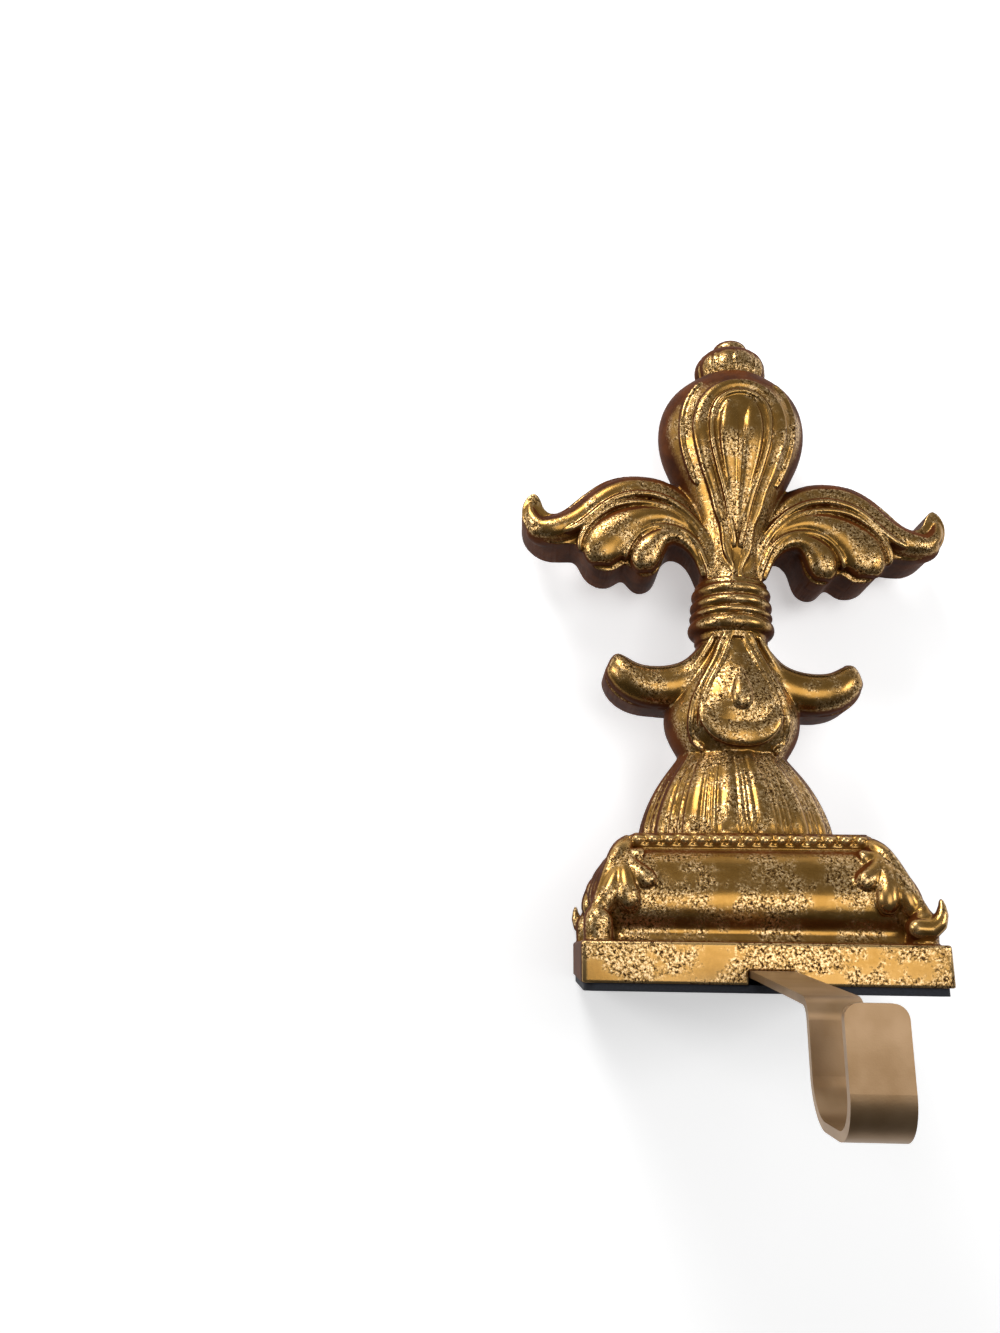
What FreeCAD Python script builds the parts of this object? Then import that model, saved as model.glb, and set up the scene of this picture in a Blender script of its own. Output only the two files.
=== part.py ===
import FreeCAD, Part, Sketcher
import math
import os
from FreeCAD import Placement, Rotation, Vector

# Mantel stocking holder: a cast fleur-de-lis ornament on a stepped pedestal, a flat strap hook
# that runs out of a notch under its front edge, two screws that hold the strap, and a thin seat pad.
# Frame: +Z up, the front faces -Y, the origin is the middle of the seat (the underside of the pad).
# All lengths are millimetres and all angles are degrees.

# Sizes
doc = FreeCAD.newDocument("MantelStockingHolder")
sheet = doc.addObject("Spreadsheet::Sheet", "Sizes")
SIZES = [
    # name, value, what it is
    ("plinth_width", 105.0, "plinth, side to side"),
    ("plinth_depth", 94.0, "plinth, front to back"),
    ("plinth_height", 11.7, "plinth, top to bottom"),
    ("plinth_round", 1.4, "rounding of the plinth's upright edges"),
    ("rim_round", 0.7, "rounding of the plinth's upper edge"),
    ("pad_thickness", 2.2, "seat pad"),
    ("pad_inset", 0.7, "pad edge inside the plinth edge"),
    ("pad_round", 4.0, "pad corner radius"),
    ("strap_width", 12.6, "flat strap, width"),
    ("strap_thickness", 2.0, "flat strap, thickness"),
    ("strap_side_gap", 0.35, "strap to the side of its channel"),
    ("strap_shift", 1.5, "strap, its channel and its screws to the right of the plinth's middle"),
    ("tang_length", 62.0, "strap inside the casting"),
    ("channel_overrun", 5.0, "the channel's cutter in front of the plinth"),
    ("arm_reach", 62.0, "plinth front to the back face of the rear leg"),
    ("arm_droop", 4.0, "slope of the arm below level"),
    ("hook_gap", 26.0, "inside width of the U, leg to leg"),
    ("hook_drop", 24.2, "underside of the arm at the leg to the underside of the U"),
    ("hook_lip", 26.4, "height of the front leg above the underside of the U"),
    ("bend_radius", 8.0, "inside radius of the two bends of the U"),
    ("arm_bend_radius", 3.0, "inside radius of the bend at the rear leg"),
    ("strap_corner", 3.0, "rounding of the strap's free corners"),
    ("knee_out", 1.0, "the arm's first bend in front of the plinth"),
    ("knee_radius", 12.0, "middle radius of the arm's first bend"),
    ("head_gap", 0.1, "screw head to the pad"),
    ("bore_room", 0.3, "blind screw hole beyond the screw's tip"),
    ("screw_head", 7.0, "screw head diameter"),
    ("screw_head_height", 1.9, "screw head height"),
    ("screw_shank", 3.4, "screw shank diameter"),
    ("screw_length", 9.0, "screw shank length above the head"),
    ("screw_clearance", 0.3, "radial room round the shank in the strap and in the casting"),
    ("screw_inset", 14.0, "first screw behind the plinth front"),
    ("screw_pitch", 34.0, "first screw to second screw"),
    ("scotia_inset", 8.0, "hollow above the plinth, inset from the plinth side"),
    ("cushion_inset", 5.9, "widest line of the cushion, inset from the plinth side"),
    ("ledge_inset", 14.6, "bead ledge, inset from the plinth side"),
    ("ledge_front_inset", 16.6, "bead ledge, inset from the plinth front and back"),
    ("cushion_height", 28.6, "plinth top to the underside of the bead ledge"),
    ("ledge_height", 4.4, "bead ledge, top to bottom"),
    ("bead_diameter", 3.8, "bead"),
    ("bead_pitch", 4.9, "bead to bead"),
    ("bead_margin", 3.5, "bead ledge's corner to the middle of the first bead"),
    ("bead_bar", 1.0, "width of the small bar between two beads"),
    ("foot_swell", 4.4, "radius of the round foot at each corner of the pedestal"),
    ("foot_inset", 1.2, "round foot inside the plinth's corner"),
    ("leaf_shift", 1.3, "corner leaves to the left of the pedestal's middle"),
    ("leaf_scale", 1.0, "thickness of the leaf fingers at the pedestal corners"),
    ("dome_width", 65.4, "gadrooned dome at its foot, side to side"),
    ("dome_depth", 55.0, "gadrooned dome at its foot, front to back"),
    ("dome_height", 29.0, "bead ledge to the top of the dome"),
    ("dome_lobes", 16.0, "gadroons round the dome"),
    ("lobe_depth", 0.045, "depth of the flutes as a part of the radius"),
    ("motif_lean", 2.5, "the motif above the dome leans this much to the right"),
    ("motif_turn", 1.7, "the motif is turned this much, its right side back"),
    ("upper_shift", 1.0, "pedestal and motif to the right of the plinth's middle"),
    ("motif_back", 15.3, "flat back of the wings, behind the middle plane"),
    ("wing_front", 8.6, "flat of the wings, in front of the middle plane"),
    ("leaf_half", 10.5, "half thickness of the two lower leaves"),
    ("belly_width", 46.8, "lower body of the motif at its widest"),
    ("belly_depth", 38.0, "lower body of the motif, front to back"),
    ("collar_width", 30.0, "largest ring of the collar"),
    ("bulb_width", 54.0, "upper bulb at its widest"),
    ("bulb_depth", 42.0, "upper bulb, front to back"),
    ("bud_width", 27.4, "ribbed bud on top"),
    ("knob_width", 13.2, "small knob on the bud"),
    ("rib_scale", 1.0, "thickness of the raised ridges"),
]
for row, (alias, value, note) in enumerate(SIZES, start=1):
    sheet.set("A%d" % row, alias)
    sheet.set("B%d" % row, repr(value))
    sheet.set("C%d" % row, note)
    sheet.setAlias("B%d" % row, alias)
doc.recompute()


def size(alias):
    """The value of one named size."""
    return float(sheet.get(alias))


# Levels, worked out from the sizes
pad_top = size("pad_thickness")
plinth_top = pad_top + size("plinth_height")
ledge_low = plinth_top + size("cushion_height")
ledge_top = ledge_low + size("ledge_height")
dome_top = ledge_top + size("dome_height")
half_width = size("plinth_width") / 2
half_depth = size("plinth_depth") / 2
shift = size("upper_shift")
strap_x = size("strap_shift")


# Helpers for the carved forms
def closed_solid(shape):
    """One valid solid from a loft."""
    solid = shape if isinstance(shape, Part.Solid) else Part.Solid(shape.Shells[0])
    if solid.Volume < 0:
        solid.reverse()
    return solid


def rounded_rectangle(half_x, half_y, radius, level):
    """A level rectangle with round corners, starting at the front end of its right side."""
    points = []
    for cx, cy, start in ((1, -1, -90), (1, 1, 0), (-1, 1, 90), (-1, -1, 180)):
        for step in range(3):
            angle = math.radians(start + 45 * step)
            points.append(Vector(cx * (half_x - radius) + radius * math.cos(angle),
                                 cy * (half_y - radius) + radius * math.sin(angle), level))
    edges = []
    for corner in range(4):
        first, middle, last = points[3 * corner:3 * corner + 3]
        edges.append(Part.Arc(first, middle, last).toShape())
        edges.append(Part.LineSegment(last, points[(3 * corner + 3) % 12]).toShape())
    return Part.Wire(edges)


def ellipse_wire(half_x, half_y, level, centre_y=0.0):
    """A level ellipse."""
    if half_x >= half_y:
        curve = Part.Ellipse(Vector(half_x, centre_y, level), Vector(0, centre_y + half_y, level),
                             Vector(0, centre_y, level))
    else:
        curve = Part.Ellipse(Vector(0, centre_y + half_y, level), Vector(-half_x, centre_y, level),
                             Vector(0, centre_y, level))
    return Part.Wire([curve.toShape()])


def ellipse_loft(sections):
    """A smooth body through level ellipses given as (level, half width, half depth)."""
    return closed_solid(Part.makeLoft([ellipse_wire(a, b, z) for z, a, b in sections], True, False))


def gadroon(turn):
    """Height of a gadroon's surface round its pitch: a wide swell, and three fine ribs in the flute."""
    turn = min(turn, 1 - turn)
    if turn < 3 / 14:
        return 0.45 + 0.27 * math.cos(14 * math.pi * turn)
    return 0.18 + 0.82 * math.sin((turn - 3 / 14) * 14 / 8 * math.pi) ** 0.6


def panel(turn):
    """Height of a plain panel's surface round its pitch: flat, with one fine rib beside it."""
    turn = min(turn, 1 - turn)
    return 1.0 if turn < 0.06 else 0.25 + 0.55 * math.sin((turn - 0.06) / 0.44 * math.pi / 2)


def lobed_loft(sections, lobes, depth, profile, steps):
    """A body whose level rings repeat a profile a number of times, one edge of the ring for each."""
    wires = []
    for level, half_x, half_y in sections:
        edges = []
        for lobe in range(lobes):
            points = []
            for step in range(steps + 1):
                angle = 2 * math.pi * (lobe + step / steps) / lobes - math.pi / 2
                factor = 1 - depth + depth * profile(step / steps)
                points.append(Vector(half_x * factor * math.cos(angle),
                                     half_y * factor * math.sin(angle), level))
            curve = Part.BSplineCurve()
            curve.interpolate(points)
            edges.append(curve.toShape())
        wires.append(Part.Wire(edges))
    return closed_solid(Part.makeLoft(wires, True, False))


def ridge(path, halves, rises, level=None):
    """A carved ridge: a smooth body through ovals across a path, each as wide and as thick as given.

    The ovals stand square to the path, or all to one direction where that is given."""
    points = [Vector(*point) for point in path]
    wires = []
    for index, point in enumerate(points):
        before = points[max(index - 1, 0)]
        after = points[min(index + 1, len(points) - 1)]
        along = level or after.sub(before).normalize()
        across = along.cross(Vector(0, 1, 0)).normalize()
        out = across.cross(along)
        oval = []
        for step in range(8):
            angle = math.pi * (step + 0.5) / 4
            oval.append(point + across * (halves[index] * math.cos(angle)) + out * (rises[index] * math.sin(angle)))
        curve = Part.BSplineCurve()
        curve.interpolate(oval, True)
        wires.append(Part.Wire([curve.toShape()]))
    return closed_solid(Part.makeLoft(wires, True, False))


def rib(path, radii):
    """A round ridge."""
    return ridge(path, radii, radii)


def even_rib(path, radius):
    """A fine round ridge of one thickness with soft ends."""
    return rib(path, [0.55 * radius] + [radius] * (len(path) - 2) + [0.55 * radius])


def blade(path, half, rise):
    """A fine ridge of one width with a deep root and soft ends."""
    ends = [0.55] + [1.0] * (len(path) - 2) + [0.55]
    return ridge(path, [half * part for part in ends], [rise * part for part in ends])


def plate(outline, front, back):
    """A plate with a spline outline in X and Z, between two depths."""
    points = [Vector(x, front, z) for x, z in outline]
    curve = Part.BSplineCurve()
    curve.interpolate(points, True)
    face = Part.Face(Part.Wire([curve.toShape()]))
    return face.extrude(Vector(0, back - front, 0))


def fuse_checked(body, pieces, label):
    """Joins pieces to a body one by one and checks that the result is one valid solid."""
    for piece in pieces:
        body = body.fuse(piece)
        if len(body.Solids) != 1:
            raise RuntimeError("%s does not join: %d solids" % (label, len(body.Solids)))
        body = body.Solids[0]
    if not body.isValid():
        raise RuntimeError("%s does not join" % label)
    return body


def mirrored(shape):
    """The same shape on the other side of the middle plane."""
    return shape.mirror(Vector(0, 0, 0), Vector(1, 0, 0))


def both(shape):
    """A shape and its mirror image."""
    return [shape, mirrored(shape)]


# Pedestal: hollow, cushion and bead ledge as one lofted body, then the beads and the corner leaves
def pedestal_half(inset):
    """Half width and half depth of the pedestal at an inset from the plinth's side."""
    slope = size("ledge_front_inset") / size("ledge_inset")
    return half_width - inset, half_depth - inset * slope


def pedestal_steps():
    """The pedestal's profile as (height above the plinth, inset from the plinth's side)."""
    tall = size("cushion_height")
    hollow, wide, ledge = size("scotia_inset"), size("cushion_inset"), size("ledge_inset")
    return [(-0.6, hollow * 0.80), (0.05 * tall, hollow * 0.97), (0.14 * tall, hollow),
            (0.21 * tall, hollow * 0.90),
            (0.32 * tall, wide + 0.3), (0.48 * tall, wide + 0.15), (0.66 * tall, wide + 1.7),
            (0.82 * tall, wide + 4.3), (0.94 * tall, ledge - 1.0), (1.03 * tall, ledge + 1.0)]


def pedestal_inset(height):
    """Inset of the pedestal's surface at a height above the plinth."""
    steps = pedestal_steps()
    for (low, inner), (high, outer) in zip(steps, steps[1:]):
        if height <= high:
            part = (height - low) / (high - low)
            return inner + part * (outer - inner)
    return steps[-1][1]


def make_pedestal():
    wires = []
    for height, inset in pedestal_steps():
        half_x, half_y = pedestal_half(inset)
        wires.append(rounded_rectangle(half_x, half_y, 4.0, plinth_top + height))
    return closed_solid(Part.makeLoft(wires, True, False))


def make_ledge():
    """The ledge under the dome: a slab with a lip, and a row of beads with a small bar between each two."""
    half_x, half_y = pedestal_half(size("ledge_inset"))
    tall, radius, bar = size("ledge_height"), size("bead_diameter") / 2, size("bead_bar")
    core_x, core_y = half_x - radius, half_y - radius
    slab = Part.makeBox(2 * core_x, 2 * core_y, tall, Vector(-core_x, -core_y, ledge_low))
    row_x, row_y = half_x - 0.85 * radius, half_y - 0.85 * radius
    lip = Part.makeBox(2 * half_x, 2 * half_y, 0.14 * tall, Vector(-half_x, -half_y, ledge_low))
    level = ledge_low + 0.48 * tall
    pieces = [lip]
    for across, row, turned in ((half_x, row_y, False), (half_y, row_x, True)):
        first = across - size("bead_margin")
        gaps = int(round(2 * first / size("bead_pitch")))
        for side in (-row, row):
            for index in range(gaps + 1):
                along = -first + 2 * first * index / gaps
                centre = Vector(side, along, level) if turned else Vector(along, side, level)
                # a bead is flattened a little at its top and its bottom
                pieces.append(Part.makeSphere(radius, centre, Vector(0, 0, 1), -80, 80, 360))
                if index < gaps:
                    middle = along + first / gaps
                    half = [radius * 0.5, bar / 2] if turned else [bar / 2, radius * 0.5]
                    low = Vector(side, middle, ledge_low) if turned else Vector(middle, side, ledge_low)
                    pieces.append(Part.makeBox(2 * half[0], 2 * half[1], 0.9 * tall,
                                               low - Vector(half[0], half[1], 0)))
    return slab, pieces


def corner_leaf():
    """The leaf on the right front corner: a corner rib that flicks up as a foot, and its fingers."""
    tall, k = size("cushion_height"), size("leaf_scale")
    slope = size("ledge_front_inset") / size("ledge_inset")

    def place(run, depth, height, side):
        """A point at a run from the corner and a depth into the pedestal, on its front or its side."""
        if side == 0:
            return (half_width - run, -half_depth + depth * slope, plinth_top + height * tall)
        return (half_width - depth, -half_depth + run * slope, plinth_top + height * tall)

    # the corner rib: inset, height, radius, down to a waist over the foot
    corner = [(15.4, 1.06, 1.9), (13.4, 0.96, 2.9), (11.2, 0.84, 2.7), (9.0, 0.68, 2.3), (7.3, 0.52, 2.2),
              (6.0, 0.38, 2.3), (5.0, 0.28, 2.4), (4.6, 0.20, 2.4)]
    fingers = [rib([place(inset, inset, height, 0) for inset, height, swell in corner],
                   [swell * k for inset, height, swell in corner])]
    bun = size("foot_swell")
    middle = bun + size("foot_inset")
    foot = [(1.0, 0.310, 0.40), (0.5, 0.295, 0.68), (0.1, 0.25, 0.93), (0.0, 0.19, 1.0), (0.0, 0.13, 1.0),
            (0.0, 0.06, 0.98), (0.0, -0.01, 0.94)]
    fingers.append(rib([place(middle + inward, middle + inward, height, 0) for inward, height, part in foot],
                       [bun * part for inward, height, part in foot]))
    # each finger: run of its end from the corner, height of its end, radius
    for away, end, swell in ((7.2, 0.27, 3.1), (14.9, 0.30, 3.7), (21.6, 0.54, 3.4), (20.4, 0.86, 3.0)):
        line = [(13.6, 0.97), (0.22 * away + 10.5, 0.67 + 0.28 * end), (0.55 * away + 5.9, 0.41 + 0.54 * end),
                (0.85 * away + 2.0, 0.18 + 0.8 * end), (away, end)]
        radii = [0.9 * k, 0.75 * swell * k, 0.95 * swell * k, swell * k, 0.5 * swell * k]
        for side in (0, 1):
            points = [place(run, pedestal_inset(height * tall) + 0.5, height, side) for run, height in line]
            fingers.append(rib(points, radii))
    return fuse_checked(fingers[0], fingers[1:], "leaf finger")


# Dome with gadroons
def make_dome():
    half_x, half_y, tall = size("dome_width") / 2, size("dome_depth") / 2, size("dome_height")
    steps = [(-0.02, 1.0), (0.15, 0.98), (0.33, 0.93), (0.52, 0.855), (0.70, 0.76), (0.85, 0.66), (1.0, 0.56)]
    sections = [(ledge_top + tall * up, half_x * part, half_y * part) for up, part in steps]
    return lobed_loft(sections, int(round(size("dome_lobes"))), size("lobe_depth"), gadroon, 14)


# The motif, drawn upright with its heights above the dome's top
def on_body(table, half_x, half_y, x, z, out=0.0):
    """A point on the front of a body of level ellipses, at x and z, and out in front of it."""
    level = min(max(z, table[0][0]), table[-1][0])
    for (z0, a0, b0), (z1, a1, b1) in zip(table, table[1:]):
        if z0 <= level <= z1:
            part = (level - z0) / (z1 - z0)
            a = half_x * (a0 + part * (a1 - a0))
            b = half_y * (b0 + part * (b1 - b0))
            return (x, -b * math.sqrt(max(1 - (x / a) ** 2, 0.04)) - out, dome_top + z)


BELLY = [(-4.0, 0.72, 0.70), (2.0, 0.86, 0.86), (11.0, 1.0, 1.0), (19.0, 0.95, 0.97), (27.0, 0.78, 0.86),
         (35.0, 0.60, 0.70), (42.0, 0.50, 0.60)]


def make_belly():
    """The lower body: a pear with a carved drop in a double ring, a swell below it and double side ridges."""
    k = size("rib_scale")
    half_x, half_y = size("belly_width") / 2, size("belly_depth") / 2

    def trace(line, out=0.0):
        return [on_body(BELLY, half_x, half_y, x, z, out) for x, z in line]

    pieces = [ellipse_loft([(dome_top + z, half_x * a, half_y * b) for z, a, b in BELLY])]
    side = [(4.0, 43.0), (5.4, 38.4), (7.2, 33.6), (9.4, 28.8), (11.6, 24.6), (13.6, 20.2), (15.2, 15.8),
            (16.1, 11.0), (15.8, 6.4), (14.2, 2.6), (11.8, -0.6)]
    pieces += both(even_rib(trace(side, 0.2), 1.25 * k))
    inner = [(x - 2.2, z) for x, z in side[:5]] + [(x - 2.5, z + 0.4) for x, z in side[5:9]]
    pieces += both(even_rib(trace(inner, 0.1), 0.85 * k))
    ring = [(1.7, 41.5), (3.2, 35.0), (5.0, 29.2), (6.9, 23.6), (7.9, 18.8), (7.4, 14.8), (5.6, 12.0),
            (3.0, 10.4),
            (0.0, 9.9)]
    whole = ring + [(-x, z) for x, z in ring[-2::-1]]
    pieces.append(even_rib(trace(whole, 0.2), 0.95 * k))
    pieces.append(ridge(trace([(0, 29.0), (0, 24.5), (0, 20.0), (0, 16.4), (0, 13.4)]),
                        [0.8 * k, 1.9 * k, 3.3 * k, 3.4 * k, 1.4 * k],
                        [0.6 * k, 1.2 * k, 2.0 * k, 2.2 * k, 0.8 * k]))
    swell = [(12.6, 15.0), (10.6, 10.0), (6.4, 6.4), (0.0, 5.2)]
    whole = swell + [(-x, z) for x, z in swell[-2::-1]]
    pieces.append(ridge(trace(whole), [1.4 * k, 3.2 * k, 4.3 * k, 4.6 * k, 4.3 * k, 3.2 * k, 1.4 * k],
                        [0.8 * k, 1.5 * k, 2.0 * k, 2.2 * k, 2.0 * k, 1.5 * k, 0.8 * k]))
    return pieces


def make_lower_leaves():
    """Two horns that flick up beside the lower body, flat behind and round in front."""
    k, half = size("rib_scale"), size("leaf_half")
    outline = [(5.0, 42.0), (11.2, 39.6), (13.8, 36.4), (17.6, 33.2), (22.6, 31.0), (28.0, 30.3),
               (33.4, 31.2),
               (37.6, 33.2), (40.2, 35.0), (43.2, 32.0), (45.0, 27.2), (42.8, 21.8), (38.0, 17.8),
               (31.8, 15.8),
               (24.0, 15.4), (12.0, 16.0), (4.0, 26.0)]
    wall = plate([(x, dome_top + z) for x, z in outline], -0.3 * half, half)
    centre = -0.4 * half
    # each cut across the leaf: place to the side, lowest and highest level, thickness
    cuts = [(6.6, 30.0, 42.0, 5.4), (10.6, 23.0, 39.9, 6.2), (15.6, 17.8, 34.8, 6.5), (22.0, 15.9, 31.3, 6.6),
            (28.4, 15.6, 30.5, 6.7), (34.4, 16.8, 31.6, 6.5), (38.6, 18.8, 33.9, 5.8),
            (41.6, 21.4, 34.2, 4.6),
            (43.8, 24.6, 31.0, 2.8), (44.8, 26.8, 28.6, 0.9)]
    horn = ridge([(x, centre, dome_top + (low + high) / 2) for x, low, high, thick in cuts],
                 [(high - low) / 2 * k for x, low, high, thick in cuts],
                 [thick * k for x, low, high, thick in cuts],
                 Vector(1, 0, 0))
    crease = [(8.0, -6.1, 41.4), (10.2, -6.0, 36.6), (13.2, -5.6, 31.4), (16.4, -5.2, 26.6),
              (19.2, -4.2, 22.6),
              (21.6, -2.0, 19.2)]
    line = even_rib([(x, centre + y, dome_top + z) for x, y, z in crease], 1.2 * k)
    return both(fuse_checked(wall, [horn, line], "lower leaf"))


def make_collar():
    """Three round rings and a thin one on a short core."""
    radius = size("collar_width") / 2
    foot = dome_top + 40.5
    pieces = [Part.makeCylinder(radius * 0.86, 22.0, Vector(0, 0, foot))]
    for height, thick, part in ((5.4, 3.0, 1.02), (9.9, 1.2, 0.98), (13.7, 2.0, 0.97), (18.3, 2.2, 0.94)):
        pieces.append(Part.makeTorus(radius * part - thick, thick, Vector(0, 0, foot + height)))
    return pieces


def make_wings():
    """Two wings: a flat wall behind, a bevelled upper band with a horn, three ridges and two soft pads."""
    k, back, face = size("rib_scale"), size("motif_back"), -size("wing_front")
    outline = [(7.0, 61.6), (11.0, 69.0), (14.2, 75.2), (17.6, 77.8), (20.8, 77.9), (23.6, 75.4),
               (25.6, 69.6),
               (28.2, 65.4), (31.4, 64.2), (34.8, 65.4), (38.4, 68.6), (42.0, 66.6), (46.4, 65.7),
               (50.6, 67.3),
               (53.8, 71.2), (56.6, 75.2), (62.0, 75.4), (68.0, 75.8), (73.0, 78.6), (76.4, 83.2),
               (77.2, 88.6),
               (75.6, 93.2), (73.2, 95.0), (70.6, 92.6), (69.0, 89.0), (66.2, 87.4), (62.4, 88.6),
               (57.6, 92.8),
               (52.6, 97.4), (46.4, 101.6), (39.0, 103.7), (33.0, 103.9), (27.0, 103.0), (19.6, 100.2),
               (6.0, 95.0)]
    pieces = [plate([(x, dome_top + z) for x, z in outline], 0.45 * face, back)]

    def level(line, y):
        return [(x, y, dome_top + z) for x, z in line]

    band = [(8.0, 73.0), (11.8, 82.0), (18.4, 90.4), (26.0, 96.0), (34.6, 97.8), (43.0, 96.0), (50.0, 91.0),
            (56.2, 85.2), (62.0, 82.0), (67.6, 80.9), (71.6, 81.2), (74.6, 82.2)]
    pieces.append(ridge(level(band, 0.12 * face),
                        [3.2 * k, 4.8 * k, 6.2 * k, 6.6 * k, 6.4 * k, 6.2 * k, 6.0 * k, 6.0 * k, 6.0 * k,
                         5.4 * k,
                         4.4 * k, 2.0 * k],
                        [5.0 * k, 6.4 * k, 7.2 * k, 7.2 * k, 7.2 * k, 7.2 * k, 7.2 * k, 7.4 * k, 7.4 * k,
                         7.0 * k,
                         5.6 * k, 3.0 * k]))
    horn = [(66.0, 80.6), (70.6, 82.0), (73.4, 85.4), (74.2, 89.4), (73.2, 94.2)]
    pieces.append(ridge(level(horn, 0.2 * face), [3.6 * k, 3.8 * k, 3.2 * k, 2.2 * k, 0.7 * k],
                        [5.4 * k, 5.6 * k, 4.6 * k, 3.2 * k, 1.0 * k]))
    upper = [(5.4, 62.0), (6.6, 71.0), (9.2, 77.2), (12.8, 83.0), (17.4, 88.2), (23.6, 92.6), (30.6, 94.8),
             (38.0, 94.4), (45.0, 91.4), (51.0, 86.2), (56.6, 81.2), (62.0, 79.0)]
    pieces.append(blade(level(upper, face + 2.6), 1.5 * k, 3.4 * k))
    second = [(7.2, 62.0), (8.4, 70.6), (10.9, 76.8), (14.4, 82.2), (19.0, 86.8), (25.4, 90.2), (33.0, 91.6),
              (40.6, 90.8), (46.6, 87.8), (51.8, 83.0), (55.0, 77.6), (55.4, 72.0)]
    pieces.append(blade(level(second, face + 2.8), 1.25 * k, 3.2 * k))
    third = [(9.2, 62.0), (10.6, 70.0), (12.8, 75.2), (16.2, 79.2), (20.8, 81.7), (26.0, 82.5), (31.2, 81.3),
             (35.4, 78.2), (38.0, 74.0), (39.0, 69.8)]
    pieces.append(blade(level(third, face + 2.8), 1.2 * k, 3.2 * k))
    outer_pad = [(9.6, 72.6), (12.8, 78.8), (17.6, 83.6), (23.4, 86.2), (29.6, 86.6), (36.0, 84.4),
                 (41.8, 80.4),
                 (46.0, 75.8), (47.6, 71.0), (47.6, 67.4)]
    pieces.append(ridge(level(outer_pad, face + 3.2),
                        [1.2 * k, 1.9 * k, 2.6 * k, 3.4 * k, 4.6 * k, 6.2 * k, 7.6 * k, 8.2 * k, 7.0 * k,
                         3.6 * k],
                        [1.6 * k, 2.4 * k, 3.0 * k, 3.6 * k, 4.2 * k, 4.6 * k, 4.8 * k, 4.8 * k, 4.2 * k,
                         2.0 * k]))
    inner_pad = [(10.6, 64.6), (13.0, 71.2), (16.0, 76.2), (20.4, 79.2), (25.2, 79.0), (29.0, 76.2),
                 (31.4, 72.2),
                 (32.0, 68.0), (31.8, 65.4)]
    pieces.append(ridge(level(inner_pad, face + 3.2),
                        [1.0 * k, 1.5 * k, 2.2 * k, 3.0 * k, 4.0 * k, 5.2 * k, 5.8 * k, 4.8 * k, 2.6 * k],
                        [1.4 * k, 2.2 * k, 2.8 * k, 3.6 * k, 4.2 * k, 4.6 * k, 4.6 * k, 3.8 * k, 1.8 * k]))
    return both(fuse_checked(pieces[0], pieces[1:], "wing"))


BULB = [(58.0, 0.44, 0.56), (66.0, 0.42, 0.56), (76.0, 0.45, 0.59), (88.0, 0.56, 0.70), (102.0, 0.76, 0.86),
        (114.0, 0.95, 0.98), (125.0, 1.0, 1.0), (133.5, 0.93, 0.92), (140.0, 0.77, 0.77), (145.5, 0.50, 0.56)]


def make_bulb():
    """The upper body: a bulb with an arch of ridges, two long swells inside it and fine side ridges."""
    k = size("rib_scale")
    half_x, half_y = size("bulb_width") / 2, size("bulb_depth") / 2

    def trace(line, out=0.0):
        return [on_body(BULB, half_x, half_y, x, z, out) for x, z in line]

    pieces = [ellipse_loft([(dome_top + z, half_x * a, half_y * b) for z, a, b in BULB])]
    side = [(13.0, 138.4), (16.0, 134.6), (18.6, 129.6), (20.0, 123.6), (20.1, 116.8), (18.9, 110.2),
            (16.7, 103.6),
            (14.2, 98.2)]
    pieces += both(even_rib(trace(side, 0.1), 1.1 * k))
    arch = [(2.2, 62.0), (2.9, 70.4), (4.2, 78.0), (5.8, 85.0), (7.7, 91.6), (9.6, 98.0), (11.5, 104.2),
            (13.0, 110.0),
            (14.0, 115.8), (13.9, 121.4), (12.4, 127.0), (9.2, 131.8), (4.8, 134.6), (0.0, 135.6)]
    whole = arch + [(-x, z) for x, z in arch[-2::-1]]
    halves = [0.9, 1.3, 1.6, 1.8, 2.0, 2.2, 2.5, 2.7, 2.9, 2.9, 2.7, 2.4, 2.2, 2.1]
    rises = [0.8, 1.1, 1.3, 1.4, 1.5, 1.6, 1.7, 1.8, 1.8, 1.8, 1.7, 1.6, 1.5, 1.5]
    pieces.append(ridge(trace(whole), [half * k for half in halves + halves[-2::-1]],
                        [rise * k for rise in rises + rises[-2::-1]]))
    drop = [(1.2, 74.0), (2.3, 81.4), (3.6, 88.2), (5.2, 94.6), (7.0, 100.6), (8.6, 106.4), (9.9, 112.0),
            (10.4, 117.8), (9.9, 123.2), (7.8, 127.8), (4.2, 130.6), (0.0, 131.5)]
    whole = drop + [(-x, z) for x, z in drop[-2::-1]]
    pieces.append(even_rib(trace(whole, 0.5), 0.95 * k))
    pieces += both(ridge(trace([(3.9, 127.4), (4.3, 121.0), (4.2, 113.4), (3.5, 105.0), (2.4, 96.4),
                                (1.5, 87.0),
                                (1.0, 78.0)]),
                         [1.0 * k, 3.0 * k, 3.5 * k, 2.9 * k, 2.0 * k, 1.3 * k, 0.6 * k],
                         [0.4 * k, 1.2 * k, 1.5 * k, 1.3 * k, 1.0 * k, 0.6 * k, 0.2 * k]))
    return pieces


def make_bud():
    """The bud on top, with fine upright ribs between plain panels, and its small knob."""
    half = size("bud_width") / 2
    top = [(142.0, 0.76), (146.0, 0.93), (150.4, 1.0), (154.6, 0.93), (157.6, 0.74), (159.4, 0.46)]
    bud = lobed_loft([(dome_top + z, half * a, half * a * 0.86) for z, a in top], 10, 0.075, panel, 10)
    half = size("knob_width") / 2
    knob = [(156.6, 0.55), (158.2, 0.88), (160.2, 1.0), (162.0, 0.9), (163.4, 0.62), (164.2, 0.28)]
    return [bud, ellipse_loft([(dome_top + z, half * a, half * a * 0.9) for z, a in knob])]


def make_motif():
    return make_belly() + make_lower_leaves() + make_collar() + make_wings() + make_bulb() + make_bud()


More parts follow.
